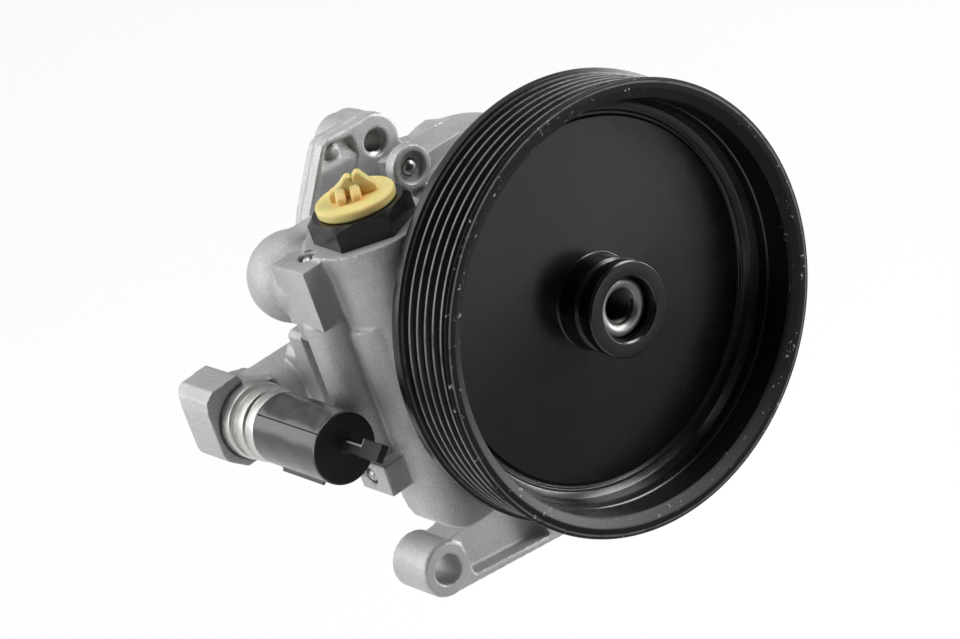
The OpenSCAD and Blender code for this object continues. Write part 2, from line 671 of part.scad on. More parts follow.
module union_seal() {
  color([0.05, 0.05, 0.05]) along_y(block_y + 3.5) translate([-out_x, out_z, 0]) rotate_extrude($fn = 48)
    translate([nose_r - 1.22, 0]) circle(r = 0.7, $fn = 16);
}

// Section of the soft cap that closes the outlet
module cap_section() {
  f = cap_front;
  i = nose_r + 0.6;
  polygon([[0, f], [cap_r - 0.7, f], [cap_r - 0.2, f + 0.25], [cap_r, f + 0.8], [cap_r, cap_y], [i, cap_y],
    [i, f + 2.2], [3.9, f + 2.2], [3.9, f + 13], [3.3, f + 13.6], [0, f + 13.6]]);
}

module outlet_cap() {
  color([0.05, 0.05, 0.055]) {
    along_y(0) translate([-out_x, out_z, 0]) rotate_extrude($fn = 72) cap_section();
    translate([-out_x, cap_front, -out_z]) rotate([0, 47, 0]) {
      translate([-1, -8, -0.6]) cube([2, 8.2, 3]);
      translate([-1.2, -16.6, -0.8]) cube([2.4, 9, 5.2]);
    }
    translate([-out_x, cap_front + 5, -out_z]) rotate([0, 131.6, 0]) translate([cap_r - 0.8, 0, -0.5])
      cube([1.8, 20, 1]);
  }
}

pulley();
drive_shaft();
rotor();
rotor_clip();
pump_housing();
rear_cover();
cover_bolts();
cover_seal();
shaft_seal();
front_bush();
rear_bush();
front_plate();
cam_ring();
rear_plate();
dowel_pins();
flow_spool();
spool_spring();
valve_plug();
plug_seal();
gallery_balls();
suction_fitting();
fitting_seal();
suction_plug();
outlet_union();
union_seal();
outlet_cap();
vane(0);  // vane_01
vane(1);  // vane_02
vane(2);  // vane_03
vane(3);  // vane_04
vane(4);  // vane_05
vane(5);  // vane_06
vane(6);  // vane_07
vane(7);  // vane_08
vane(8);  // vane_09
vane(9);  // vane_10
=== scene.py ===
import json
import math

import bmesh
import bpy
import numpy as np
from mathutils import Matrix, Vector


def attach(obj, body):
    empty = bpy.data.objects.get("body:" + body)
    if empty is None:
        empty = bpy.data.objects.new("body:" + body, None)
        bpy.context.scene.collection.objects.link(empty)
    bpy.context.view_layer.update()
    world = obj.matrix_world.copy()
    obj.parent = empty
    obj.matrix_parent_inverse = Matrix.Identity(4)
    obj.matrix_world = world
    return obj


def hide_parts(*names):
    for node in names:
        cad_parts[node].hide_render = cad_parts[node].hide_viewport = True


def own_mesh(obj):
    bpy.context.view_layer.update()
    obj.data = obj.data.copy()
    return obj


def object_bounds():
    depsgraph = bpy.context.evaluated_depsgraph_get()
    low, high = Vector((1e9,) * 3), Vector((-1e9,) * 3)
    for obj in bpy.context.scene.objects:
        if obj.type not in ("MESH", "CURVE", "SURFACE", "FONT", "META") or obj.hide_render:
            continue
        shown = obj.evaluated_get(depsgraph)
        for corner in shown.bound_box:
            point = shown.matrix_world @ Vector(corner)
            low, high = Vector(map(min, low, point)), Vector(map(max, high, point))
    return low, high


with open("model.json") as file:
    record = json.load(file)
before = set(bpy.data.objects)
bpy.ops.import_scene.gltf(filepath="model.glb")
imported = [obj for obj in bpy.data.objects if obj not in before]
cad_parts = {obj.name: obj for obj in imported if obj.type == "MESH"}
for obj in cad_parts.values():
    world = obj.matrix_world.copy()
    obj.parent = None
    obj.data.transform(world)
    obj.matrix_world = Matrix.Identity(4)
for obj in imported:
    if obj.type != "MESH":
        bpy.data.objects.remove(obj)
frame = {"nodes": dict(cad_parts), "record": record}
cad_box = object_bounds()
nodes = frame["nodes"]
scene = bpy.context.scene
scene.view_settings.view_transform = "Standard"

# Sizes and places of the part are in millimetres, and MM turns them into metres.
# The shaft lies along Y, and y = 0 is the belt's middle plane.
MM = 0.001

# Pulley and shaft: radii, and places along Y
GROOVE_COUNT = 6
GROOVE_PITCH = 3.56
GROOVE_HALF = 1.43
GROOVE_FLOOR_HALF = 0.39
PULLEY_R = 65.0
RIDGE_R = PULLEY_R - 1.2
GROOVE_R = RIDGE_R - 2.9
BEVEL_R = 61.9
RIM_IN = 59.0
RIM_REAR_IN = 55.0
RING_R = 53.3
HUB_R = 14.0
PULLER_R = 12.6
HUB_BORE = 9.2
SHAFT_R = 9.0
SHAFT_BORE = 5.1
FRONT = -GROOVE_COUNT * GROOVE_PITCH / 2 - 0.72
REAR = FRONT + 25.6
LIP = FRONT + 1.9
FIRST_GROOVE = FRONT + 2.5
WEB = FRONT + 17.0
WEB_REAR = WEB + 3.6
HUB = FRONT + 2.1
HUB_REAR = REAR + 1.4
SHAFT = HUB + 3.4

# Front faces of the cover and of the outlet block, along Y
COVER = 58.6
BLOCK = 66.4

# Outlet: axis of the union and the cap, radii of the union, and both ends of the cap along Y
OUT_X = -82.8
OUT_Z = -3.6
UNION_R = 11.3
UNION_TAIL_R = 8.0
UNION_NOSE_R = 8.5
UNION_BORE = 4.0
CAP_Y = BLOCK - 14.7
CAP_LONG = 30.4
CAP_F = CAP_Y - CAP_LONG
TONGUE_TURN = 47
SEAM_AT = 127
SEAM_FLOOR = 9.75

# Suction port: x and y of its axis, and heights
PORT = (-46.3, 33.1)
PORT_TOP = 44.5
HEX_TOP = PORT_TOP + 0.05 + 7.2
GRIP_FOOT = HEX_TOP + 2.8

# Steel balls in the housing: middles of their three seats
COLUMN = (-63.6, PORT[1] + 5.4, 43.7)
LUG = (-70.8, PORT[1] + 2.5, -23.2)
BOSS = (-22.4, 38.6, 49.7)
BALL_BORE = 2.6

# Cover: x and z of its two mounting holes, and the sides of the plate's pocket as z and x values
MOUNT = (-19.2, 53.3)
MOUNT_BORE = 3.95
EAR = (-45.5, -76.6)
EAR_BORE = 4.6
EAR_RING_R = 8.4
EAR_RING_H = 0.6
POCKET_LOW = 29
POCKET_LEFT = ((POCKET_LOW, 43.6, 57.6), (-51, -46, -36.4))
POCKET_RIGHT = ((30, 53, 58.8), (-40, -25.8, -26.2))

# Valve spring: the wire's radius and the number of turns
SPRING_WIRE = 0.8
SPRING_TURNS = 10

# Most triangles in one casting
CASTING_TRIS = 185000


# Mesh helpers

def link(name, data):
    ob = bpy.data.objects.new(name, data)
    scene.collection.objects.link(ob)
    return ob


def smooth_by_angle(ob, degrees):
    mesh = ob.data
    mesh.polygons.foreach_set("use_smooth", np.ones(len(mesh.polygons), bool))
    mesh.set_sharp_from_angle(angle=math.radians(degrees))
    mesh.update()


def rounded(outline, steps=3):
    """A closed outline of (a, b, radius) corners, each corner replaced by a small arc."""
    out = []
    count = len(outline)
    for i, corner in enumerate(outline):
        p = np.array(corner[:2], float)
        r = corner[2]
        a = np.array(outline[i - 1][:2], float) - p
        b = np.array(outline[(i + 1) % count][:2], float) - p
        long_a = np.linalg.norm(a)
        long_b = np.linalg.norm(b)
        a = a / long_a
        b = b / long_b
        turn = math.acos(max(-1.0, min(1.0, float(a @ b))))
        if r <= 0 or turn > math.radians(176):
            out.append(tuple(p))
            continue
        short = min(r / math.tan(turn / 2), 0.42 * long_a, 0.42 * long_b)
        start = p + a * short
        end = p + b * short
        for k in range(steps + 1):
            t = k / steps
            q = (1 - t) ** 2 * start + 2 * t * (1 - t) * p + t ** 2 * end
            out.append((float(q[0]), float(q[1])))
    return out


def tube_faces(rings, sides, closed=False):
    """Faces between rings of points; an open tube gets a face at each end."""
    faces = []
    for i in range(rings if closed else rings - 1):
        j = (i + 1) % rings
        for k in range(sides):
            m = (k + 1) % sides
            faces.append((i * sides + k, i * sides + m, j * sides + m, j * sides + k))
    if not closed:
        faces.append(tuple(reversed(range(sides))))
        faces.append(tuple(range((rings - 1) * sides, rings * sides)))
    return faces


def solid(name, verts, faces, degrees, clean=False):
    """An object from points and faces, its normals outward and its edges sharp above an angle."""
    mesh = bpy.data.meshes.new(name)
    mesh.from_pydata((np.array(verts) * MM).tolist(), [], faces)
    bm = bmesh.new()
    bm.from_mesh(mesh)
    if clean:
        bmesh.ops.remove_doubles(bm, verts=bm.verts, dist=1e-6)
        bmesh.ops.dissolve_degenerate(bm, edges=bm.edges, dist=1e-7)
    bmesh.ops.recalc_face_normals(bm, faces=bm.faces)
    bm.to_mesh(mesh)
    bm.free()
    ob = link(name, mesh)
    smooth_by_angle(ob, degrees)
    return ob


def turned(name, outline, x=0.0, z=0.0, count=192):
    """Turns a closed outline of (radius, y) pairs round the Y direction."""
    points = np.array(outline, float)
    angle = np.arange(count) * 2 * math.pi / count
    across = x + np.outer(np.cos(angle), points[:, 0])
    up = z + np.outer(np.sin(angle), points[:, 0])
    along = np.broadcast_to(points[:, 1], across.shape)
    verts = np.stack([across, along, up], -1).reshape(-1, 3)
    return solid(name, verts, tube_faces(count, len(points), closed=True), 40, clean=True)


def thread(name, x, z, start, end, outer, inner, pitch, count=40):
    """A helical ridge inside a hole along Y."""
    root_half = 0.47 * pitch
    crest_half = 0.07 * pitch
    shape = [(outer, -root_half), (inner, -crest_half), (inner, crest_half), (outer, root_half)]
    total = int(((end - start) / pitch - 1) * count)
    verts = []
    for i in range(total + 1):
        a = 2 * math.pi * i / count
        y = start + pitch * (0.5 + i / count)
        for r, t in shape:
            verts.append((x + r * math.cos(a), y + t, z + r * math.sin(a)))
    return solid(name, verts, tube_faces(total + 1, len(shape)), 30)


def coil(name, low, high, wire, turns, count=36, sides=10):
    """A coil spring along X inside the box from low to high, its end turns closed."""
    middle = (low + high) / 2
    radius = (high[1] - low[1]) / 2 - wire
    length = high[0] - low[0] - 2 * wire
    closed = 2.04 * wire
    turn = np.arange(turns * count + 1) / count
    along = np.interp(turn, [0, 1, turns - 1, turns], [0, closed, length - closed, length])
    along = (along + low[0] + wire)[:, None]
    a = 2 * math.pi * turn[:, None]
    b = 2 * math.pi * np.arange(sides)[None] / sides
    r = radius + wire * np.cos(b)
    x = along + wire * np.sin(b)
    verts = np.stack([x, middle[1] + r * np.cos(a), middle[2] + r * np.sin(a)], -1).reshape(-1, 3)
    return solid(name, verts, tube_faces(len(turn), sides), 50)


def copied(name, node):
    mesh = nodes[node].data.copy()
    mesh.materials.clear()
    return link(name, mesh)


def applied(ob):
    """Replaces the object's mesh by the result of its modifiers."""
    graph = bpy.context.evaluated_depsgraph_get()
    done = bpy.data.meshes.new_from_object(ob.evaluated_get(graph))
    ob.modifiers.clear()
    old = ob.data
    ob.data = done
    bpy.data.meshes.remove(old)
    return ob


def welded(ob):
    bm = bmesh.new()
    bm.from_mesh(ob.data)
    bmesh.ops.remove_doubles(bm, verts=bm.verts, dist=2e-6)
    bm.to_mesh(ob.data)
    bm.free()
    return ob


def remeshed(ob, size):
    """Gives the object one closed skin of small even faces."""
    welded(ob)
    mod = ob.modifiers.new("skin", "REMESH")
    mod.mode = "VOXEL"
    mod.voxel_size = size * MM
    mod.adaptivity = 0.0
    return applied(ob)


def relaxed(ob, turns):
    """Evens out a dense mesh without shrinking it: each step inward is followed by one outward."""
    mesh = ob.data
    n = len(mesh.vertices)
    co = np.zeros(n * 3)
    mesh.vertices.foreach_get("co", co)
    co = co.reshape(-1, 3)
    ends = np.zeros(len(mesh.edges) * 2, int)
    mesh.edges.foreach_get("vertices", ends)
    first, second = ends.reshape(-1, 2).T
    neighbours = np.maximum(np.bincount(ends, minlength=n), 1).astype(float)
    for turn in range(turns):
        for step in (0.5, -0.52):
            mean = np.empty_like(co)
            for k in range(3):
                total = np.bincount(first, co[second, k], n) + np.bincount(second, co[first, k], n)
                mean[:, k] = total / neighbours
            co = co + step * (mean - co)
    mesh.vertices.foreach_set("co", co.ravel())
    mesh.update()
    return ob


def thinned(ob, most):
    """Brings a dense mesh of four-sided faces under a number of triangles."""
    mod = ob.modifiers.new("thin", "DECIMATE")
    mod.ratio = min(1.0, most / (2 * len(ob.data.polygons)))
    return applied(ob)


def smooth_step(v, low, high):
    t = np.clip((v - low) / (high - low), 0, 1)
    return t * t * (3 - 2 * t)


def moved(ob, rule):
    """Moves the points of a mesh; the rule takes places and normals and gives places."""
    mesh = ob.data
    co = np.zeros(len(mesh.vertices) * 3)
    mesh.vertices.foreach_get("co", co)
    normal = np.zeros_like(co)
    mesh.vertices.foreach_get("normal", normal)
    new = rule(co.reshape(-1, 3) / MM, normal.reshape(-1, 3))
    mesh.vertices.foreach_set("co", (new * MM).ravel())
    mesh.update()
    return ob


def drill(bm, origin, axis, steps, sides=56):
    """Adds a closed round tool: steps are (distance along the axis, radius) pairs."""
    turn = Vector(axis).to_track_quat("Z", "Y").to_matrix().to_4x4()
    place = Matrix.Translation(Vector(origin) * MM) @ turn
    verts = []
    for at, r in steps:
        for k in range(sides):
            a = 2 * math.pi * k / sides
            point = Vector((r * math.cos(a), r * math.sin(a), at)) * MM
            verts.append(bm.verts.new(place @ point))
    for face in tube_faces(len(steps), sides):
        bm.faces.new([verts[k] for k in face])


def cut(ob, make):
    """Takes the tool that make builds out of the object."""
    bm = bmesh.new()
    make(bm)
    bmesh.ops.recalc_face_normals(bm, faces=bm.faces)
    mesh = bpy.data.meshes.new("cutter")
    bm.to_mesh(mesh)
    bm.free()
    tool = link("cutter", mesh)
    mod = ob.modifiers.new("cut", "BOOLEAN")
    mod.operation = "DIFFERENCE"
    mod.solver = "EXACT"
    mod.object = tool
    applied(ob)
    bpy.data.objects.remove(tool)
    bpy.data.meshes.remove(mesh)
    return ob


# Material helpers

class Nodes:
    """Short names for the shader nodes of one material."""

    def __init__(self, name):
        self.mat = bpy.data.materials.new(name)
        self.mat.use_nodes = True
        self.tree = self.mat.node_tree
        self.bsdf = self.tree.nodes["Principled BSDF"]
        self.coord = self.add("ShaderNodeTexCoord").outputs["Object"]

    def add(self, kind, **values):
        node = self.tree.nodes.new(kind)
        for key, value in values.items():
            setattr(node, key, value)
        return node

    def wire(self, source, target):
        self.tree.links.new(source, target)

    def noise(self, scale, detail, rough=0.55):
        node = self.add("ShaderNodeTexNoise")
        node.inputs["Scale"].default_value = scale
        node.inputs["Detail"].default_value = detail
        node.inputs["Roughness"].default_value = rough
        self.wire(self.coord, node.inputs["Vector"])
        return node.outputs["Fac"]

    def ramp(self, value, *stops):
        """Turns a value into a colour by (place, colour) stops; a number stands for a grey."""
        node = self.add("ShaderNodeValToRGB")
        bar = node.color_ramp
        while len(bar.elements) < len(stops):
            bar.elements.new(0.5)
        for element, (at, colour) in zip(bar.elements, stops):
            element.position = at
            c = (colour,) * 3 if isinstance(colour, (int, float)) else colour
            element.color = (*c, 1.0)
        self.wire(value, node.inputs["Fac"])
        return node.outputs["Color"]

    def mix(self, fac, a, b, mode="MIX"):
        node = self.add("ShaderNodeMix", data_type="RGBA", blend_type=mode)
        sockets = {s.identifier: s for s in node.inputs}
        for key, value in (("Factor_Float", fac), ("A_Color", a), ("B_Color", b)):
            if isinstance(value, (int, float)):
                sockets[key].default_value = value if key == "Factor_Float" else (value, value, value, 1)
            elif isinstance(value, tuple):
                sockets[key].default_value = (*value, 1)
            else:
                self.wire(value, sockets[key])
        return [o for o in node.outputs if o.identifier == "Result_Color"][0]

    def math(self, op, a, b=0.0):
        node = self.add("ShaderNodeMath", operation=op)
        for socket, value in zip(node.inputs, (a, b)):
            if isinstance(value, (int, float)):
                socket.default_value = value
            else:
                self.wire(value, socket)
        return node.outputs[0]

    def times(self, first, *others):
        """The product of all values."""
        for value in others:
            first = self.math("MULTIPLY", first, value)
        return first

    def weighted(self, a, share_a, b, share_b):
        """The sum of two values, each times its share."""
        return self.math("ADD", self.times(a, share_a), self.times(b, share_b))

    def radius(self, a, b):
        """The distance from an axis, from two distances across it."""
        return self.math("SQRT", self.math("ADD", self.times(a, a), self.times(b, b)))

    def above(self, value, limit):
        return self.math("GREATER_THAN", value, limit)

    def axes(self):
        node = self.add("ShaderNodeSeparateXYZ")
        self.wire(self.coord, node.inputs[0])
        return node.outputs

    def span(self, value, low, high):
        """Goes smoothly from 0 at low to 1 at high; low may be the larger."""
        node = self.add("ShaderNodeMapRange", interpolation_type="SMOOTHSTEP")
        node.inputs["From Min"].default_value = low
        node.inputs["From Max"].default_value = high
        self.wire(value, node.inputs["Value"])
        return node.outputs["Result"]

    def span_mm(self, value, low, high):
        return self.span(value, low * MM, high * MM)

    def bump(self, height, strength, distance, under=None):
        node = self.add("ShaderNodeBump")
        node.inputs["Strength"].default_value = strength
        node.inputs["Distance"].default_value = distance
        self.wire(height, node.inputs["Height"])
        if under is not None:
            self.wire(under, node.inputs["Normal"])
        return node.outputs["Normal"]

    def done(self, colour, rough, normal, metallic, **sockets):
        """Joins the results to the shader; sockets are constants, named with _ for a space."""
        results = {"Base Color": colour, "Roughness": rough, "Normal": normal, "Metallic": metallic}
        for key, value in results.items():
            if value is None:
                continue
            if isinstance(value, (int, float)):
                self.bsdf.inputs[key].default_value = value
            else:
                self.wire(value, self.bsdf.inputs[key])
        for key, value in sockets.items():
            self.bsdf.inputs[key.replace("_", " ")].default_value = value
        return self.mat


# Materials

WORN_GREY = (0.40, 0.40, 0.39)
# The grey below is a painted sheen on the pulley's lip bevel
SHEEN_GREY = (0.40, 0.40, 0.41)
CHIP_GREY = (0.52, 0.53, 0.53)
DUST_GREY = (0.5, 0.5, 0.5)
PALE_EDGE = (0.42, 0.42, 0.43)
# The deep yellow below is painted shade in the plug's hollows
HOLLOW_SHADE_YELLOW = (0.80, 0.42, 0.11)


def cast_metal(name, light, dark):
    """A blasted casting: a slow change of tone, pits, fine specks and a low swell."""
    n = Nodes(name)
    grain = n.noise(2000, 3, 0.6)
    speck = n.noise(3400, 2, 0.5)
    tone = n.ramp(n.noise(38, 3), (0.3, dark), (0.7, light))
    pits = n.ramp(grain, (0.36, 0.74), (0.56, 1.0))
    fine = n.ramp(speck, (0.3, 0.9), (0.66, 1.04))
    colour = n.mix(0.8, tone, pits, "MULTIPLY")
    colour = n.mix(0.7, colour, fine, "MULTIPLY")
    rough = n.ramp(n.noise(240, 4), (0.3, 0.46), (0.75, 0.62))
    swell = n.bump(n.noise(210, 3), 0.35, 0.0005)
    normal = n.bump(n.mix(0.4, grain, speck), 0.5, 0.0003, swell)
    return n.done(colour, rough, normal, 0.55)


def metal_tone(n, colour):
    darker = tuple(c * 0.86 for c in colour)
    return n.ramp(n.noise(160, 3), (0.3, darker), (0.7, colour))


def machined(name, colour, rough, metallic=1.0):
    n = Nodes(name)
    lines = n.noise(2600, 2, 0.5)
    roughness = n.ramp(lines, (0.3, rough * 0.8), (0.7, rough * 1.25))
    return n.done(metal_tone(n, colour), roughness, n.bump(lines, 0.18, 0.0001), metallic)


def bored_steel(name, colour, dark):
    """Turned steel with painted shade: dark inside the shaft's threaded bore."""
    n = Nodes(name)
    x, y, z = n.axes()
    # Painted shade: the bore's wall past its mouth takes the dark colour
    in_bore = n.span_mm(n.radius(x, z), SHAFT_BORE + 0.2, SHAFT_BORE - 0.2)
    inside = n.times(in_bore, n.span_mm(y, SHAFT, SHAFT + 1.4))
    lines = n.noise(2600, 2, 0.5)
    rough = n.ramp(lines, (0.3, 0.38), (0.7, 0.52))
    colour = n.mix(inside, metal_tone(n, colour), dark)
    return n.done(colour, rough, n.bump(lines, 0.18, 0.0001), 0.9)


def black_paint(name, specular):
    """The pulley's paint: chips on the rim, worn belt ridges and a painted grey sheen low on the lip's
    bevel.
    """
    n = Nodes(name)
    x, y, z = n.axes()
    r = n.radius(x, z)
    base = n.ramp(n.noise(60, 4), (0.3, (0.004, 0.004, 0.0045)), (0.75, (0.007, 0.007, 0.008)))
    dust = n.above(n.noise(900, 2, 0.5), 0.735)
    colour = n.mix(n.times(dust, 0.05), base, DUST_GREY)

    rim = n.times(n.span_mm(r, RIM_IN - 1.5, RIM_IN + 0.5), n.span_mm(y, FRONT + 4.2, FRONT + 1.0))
    chips = n.above(n.noise(420, 5, 0.75), 0.635)
    patch = n.above(n.noise(30, 2), 0.43)
    colour = n.mix(n.times(rim, chips, patch, 0.75), colour, CHIP_GREY)

    over_groove = n.span_mm(r, RIDGE_R - 0.3, RIDGE_R - 0.08)
    under_flange = n.span_mm(r, RIDGE_R + 0.5, RIDGE_R + 0.2)
    worn = n.times(over_groove, under_flange, n.span(n.noise(170, 3), 0.22, 0.5))
    colour = n.mix(n.times(worn, 0.35), colour, WORN_GREY)

    lip = n.times(n.span_mm(y, LIP + 0.4, LIP), n.span_mm(r, RIM_IN - 0.2, RIM_IN + 0.1))
    bevel = n.times(lip, n.span_mm(r, BEVEL_R + 0.5, BEVEL_R - 0.5))
    # Painted sheen: the bevel turns grey, most towards its lower left where a highlight falls
    low_left = n.span_mm(n.weighted(x, -0.6, z, -0.8), 5, 58)
    bevel_sheen = n.math("ADD", n.times(low_left, 0.14), 0.03)
    colour = n.mix(n.times(bevel, bevel_sheen), colour, SHEEN_GREY)

    rough = n.ramp(n.noise(90, 4), (0.3, 0.22), (0.75, 0.32))
    rough = n.mix(lip, rough, 0.45)
    peel = n.bump(n.noise(700, 2), 0.08, 0.0002)
    return n.done(colour, rough, peel, n.times(worn, 0.3), Specular_IOR_Level=specular)


def soft_black(name):
    """The soft cap's side, with a waxy sheen."""
    n = Nodes(name)
    colour = n.ramp(n.noise(120, 4), (0.3, (0.010, 0.010, 0.0115)), (0.75, (0.018, 0.018, 0.020)))
    rough = n.ramp(n.noise(140, 4), (0.3, 0.27), (0.75, 0.38))
    normal = n.bump(n.noise(170, 3), 0.16, 0.0006)
    return n.done(colour, rough, normal, 0.0, Specular_IOR_Level=0.72, Coat_Weight=0.42, Coat_Roughness=0.2)


def dull_black(name):
    """The cap's end and its tongue; the upper edges of the tongue's neck are pale."""
    n = Nodes(name)
    x, y, z = n.axes()
    dx = n.math("SUBTRACT", x, OUT_X * MM)
    dz = n.math("SUBTRACT", z, OUT_Z * MM)
    tilt = math.radians(TONGUE_TURN)
    up = n.weighted(dx, math.sin(tilt), dz, math.cos(tilt))
    neck = n.times(n.span_mm(y, CAP_F - 0.2, CAP_F - 1.2), n.span_mm(y, CAP_F - 8.3, CAP_F - 7.9))
    pale = n.times(neck, n.span_mm(up, 1.7, 2.0))
    colour = n.ramp(n.noise(120, 4), (0.3, (0.009, 0.009, 0.010)), (0.75, (0.015, 0.015, 0.016)))
    colour = n.mix(n.times(pale, 0.8), colour, PALE_EDGE)
    rough = n.ramp(n.noise(140, 4), (0.3, 0.56), (0.75, 0.68))
    normal = n.bump(n.noise(170, 3), 0.16, 0.0006)
    return n.done(colour, rough, normal, 0.0, Specular_IOR_Level=0.4)


def black_oxide(name):
    n = Nodes(name)
    colour = n.ramp(n.noise(300, 4), (0.3, (0.006, 0.006, 0.0065)), (0.75, (0.012, 0.012, 0.013)))
    rough = n.ramp(n.noise(420, 3), (0.3, 0.17), (0.75, 0.28))
    normal = n.bump(n.noise(900, 2), 0.08, 0.0002)
    return n.done(colour, rough, normal, 0.0, Specular_IOR_Level=0.45)


def pale_plastic(name):
    """Pale yellow plastic that light enters, with painted shade in a deeper colour at the foot of the
    finger grips.
    """
    n = Nodes(name)
    x, y, z = n.axes()
    dx = n.math("SUBTRACT", x, PORT[0] * MM)
    dy = n.math("SUBTRACT", y, PORT[1] * MM)
    # Painted shade: a deeper orange near the axis, low between the finger grips
    near_axis = n.span_mm(n.radius(dx, dy), 8.5, 3.5)
    inner = n.times(near_axis, n.span_mm(z, HEX_TOP + 7.4, HEX_TOP + 3.2))
    tone = n.ramp(n.noise(130, 3), (0.3, (0.67, 0.58, 0.20)), (0.75, (0.73, 0.65, 0.29)))
    colour = n.mix(n.times(inner, 0.75), tone, HOLLOW_SHADE_YELLOW)
    rough = n.ramp(n.noise(260, 3), (0.3, 0.36), (0.75, 0.5))
    normal = n.bump(n.noise(400, 3), 0.08, 0.0003)
    return n.done(colour, rough, normal, 0.0,
                  Subsurface_Weight=0.6, Subsurface_Scale=0.003, Specular_IOR_Level=0.45)


def zinc(name):
    n = Nodes(name)
    tone = n.ramp(n.noise(110, 3), (0.3, (0.54, 0.54, 0.52)), (0.72, (0.64, 0.64, 0.625)))
    rough = n.ramp(n.noise(700, 3), (0.3, 0.36), (0.75, 0.50))
    return n.done(tone, rough, n.bump(n.noise(1500, 2), 0.14, 0.0002), 1.0)


def seal_rubber(name):
    n = Nodes(name)
    colour = n.ramp(n.noise(300, 3), (0.3, (0.012, 0.012, 0.012)), (0.75, (0.03, 0.03, 0.03)))
    rough = n.ramp(n.noise(500, 3), (0.3, 0.55), (0.75, 0.75))
    return n.done(colour, rough, n.bump(n.noise(900, 2), 0.2, 0.0002), 0.0)


by_slot = {
    "black_paint": black_paint("black_paint", 0.5),
    "steel": machined("steel", (0.40, 0.40, 0.395), 0.28),
    "dark_steel": machined("dark_steel", (0.40, 0.41, 0.42), 0.34),
    "cast_housing": cast_metal("cast_housing", (0.56, 0.565, 0.56), (0.46, 0.465, 0.46)),
    "cast_cover": cast_metal("cast_cover", (0.58, 0.585, 0.58), (0.49, 0.495, 0.49)),
    "plated_steel": machined("plated_steel", (0.58, 0.575, 0.54), 0.34),
    "rubber": seal_rubber("rubber"),
    "bronze": machined("bronze", (0.52, 0.38, 0.22), 0.36),
    "sintered": machined("sintered", (0.30, 0.30, 0.30), 0.5, 0.8),
    "black_fitting": black_oxide("black_fitting"),
    "yellow_plastic": pale_plastic("yellow_plastic"),
    "zinc_steel": zinc("zinc_steel"),
    "black_plastic": soft_black("black_plastic"),
}

# Materials of places that differ from the rest of their slot
lip_paint = black_paint("black_paint_lip", 0.18)
cap_end_black = dull_black("black_plastic_end")
shaft_steel = bored_steel("shaft_steel", (0.36, 0.36, 0.35), (0.07, 0.07, 0.065))
tapped = machined("tapped_aluminium", (0.44, 0.44, 0.435), 0.42)

for part in frame["record"]["subparts"]:
    node_mesh = nodes[part["node"]].data
    node_mesh.materials.clear()
    node_mesh.materials.append(by_slot[part["material_slot"]])


def dress(ob, mat, body, slot, *stands_for):
    """Gives a piece its material and body, and hides the nodes that it stands for; slot is not used."""
    ob.data.materials.clear()
    ob.data.materials.append(mat)
    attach(ob, body)
    if stands_for:
        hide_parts(*stands_for)
    return ob


# Pulley, turned with small rounded edges; its lip has a duller paint

def pulley_outline():
    """Half section as (radius, y, corner radius): lip, belt side, rear, hub and dish."""
    shoulder = GROOVE_HALF + 0.45 * (PULLEY_R - RIDGE_R) / (PULLEY_R + 1 - RIDGE_R)
    last_groove = FIRST_GROOVE + (GROOVE_COUNT - 1) * GROOVE_PITCH
    lip = [(RIM_IN, LIP, 0.4), (RIM_IN + 0.4, LIP - 0.7, 0.4), (BEVEL_R, FRONT, 0.8),
           (PULLEY_R - 0.5, FRONT, 0.35), (PULLEY_R, FRONT + 0.5, 0.3)]
    belt = [(PULLEY_R, FIRST_GROOVE - shoulder, 0.15)]
    for i in range(GROOVE_COUNT):
        y = FIRST_GROOVE + i * GROOVE_PITCH
        belt += [(RIDGE_R, y - GROOVE_HALF, 0.14), (GROOVE_R, y - GROOVE_FLOOR_HALF, 0.15),
                 (GROOVE_R, y + GROOVE_FLOOR_HALF, 0.15), (RIDGE_R, y + GROOVE_HALF, 0.14)]
    belt.append((PULLEY_R, last_groove + shoulder, 0.15))
    rear = [(PULLEY_R, REAR - 0.8, 0.4), (PULLEY_R - 0.8, REAR, 0.4), (RIM_REAR_IN + 1, REAR, 0.4),
            (RIM_REAR_IN, REAR - 1, 0.4), (RIM_REAR_IN, WEB_REAR, 1.2), (HUB_R + 1.2, WEB_REAR, 1.0)]
    hub = [(HUB_R - 0.6, HUB_REAR, 0.4), (SHAFT_R, HUB_REAR, 0.3), (SHAFT_R, SHAFT, 0),
           (HUB_BORE, SHAFT, 0), (HUB_BORE, HUB + 0.6, 0.25), (HUB_BORE + 0.6, HUB, 0.25),
           (HUB_R - 0.6, HUB, 0.35), (HUB_R, HUB + 0.6, 0.3), (HUB_R, HUB + 3.6, 0.3),
           (PULLER_R, HUB + 4.2, 0.4), (PULLER_R, HUB + 7.0, 0.4), (HUB_R - 0.4, HUB + 7.6, 0.3),
           (HUB_R - 0.4, WEB - 0.5, 0.4)]
    dish = [(HUB_R + 0.1, WEB, 0.4), (RING_R - 0.9, WEB, 0.3), (RING_R - 0.4, WEB + 0.8, 0.3),
            (RING_R + 0.4, WEB + 0.8, 0.3), (RING_R + 0.9, WEB, 0.3), (RIM_REAR_IN, WEB, 0.5),
            (RIM_IN - 2.4, WEB - 1.2, 0.9), (RIM_IN - 1.2, WEB - 3.6, 1.0),
            (RIM_IN - 0.9, FRONT + 10.4, 0.2), (RIM_IN - 0.5, FRONT + 10.0, 0.2),
            (RIM_IN, FRONT + 3.0, 1.0)]
    return rounded(lip + belt + rear + hub + dish)


def make_pulley():
    pulley = turned("pulley_turned", pulley_outline(), count=240)
    dress(pulley, by_slot["black_paint"], "shaft", "black_paint", "pulley")
    pulley.data.materials.append(lip_paint)
    for face in pulley.data.polygons:
        from_axis = math.hypot(face.center.x, face.center.z)
        face.material_index = int(from_axis > (RIM_IN + 0.05) * MM and face.center.y < LIP * MM)


# Outlet union, turned

